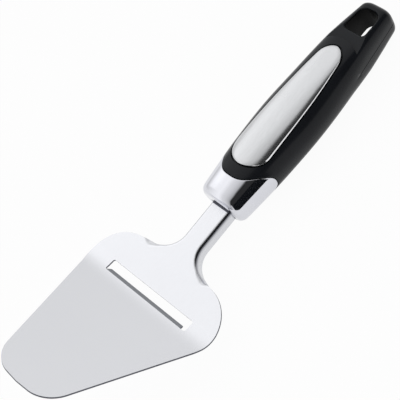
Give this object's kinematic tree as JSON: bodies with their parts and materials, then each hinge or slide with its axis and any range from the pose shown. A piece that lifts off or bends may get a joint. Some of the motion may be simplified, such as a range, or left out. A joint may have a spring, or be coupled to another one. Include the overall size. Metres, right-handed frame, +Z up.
{
  "type": "cheese slicer",
  "caption": "Hand-held plane-type cheese slicer: slotted stainless head set at an angle on a formed neck, chromed ferrule, black handle with a metal inlay and a hang hole.",
  "frame": {"origin": "on the surface it lies on, under the middle of its length and width, with the handle level", "axes": "+X along the handle from the blade towards the hang hole, +Y across the width, +Z up out of the face with the inlay"},
  "size_m": [0.2361, 0.081, 0.0512],
  "materials": {
    "stainless": "fine satin",
    "chromed": "mirror",
    "core_plastic": "as moulded",
    "resin": "as set",
    "grip_plastic": "satin",
    "inlay_metal": "brushed lengthwise",
    "pad": "foam"
  },
  "bodies": {
    "root": {"blade": "stainless", "ferrule": "chromed", "handle_core": "core_plastic", "tang_bond": "resin", "grip_shell": "grip_plastic", "inlay_plate": "inlay_metal", "inlay_pad": "pad"}
  },
  "joints": []
}
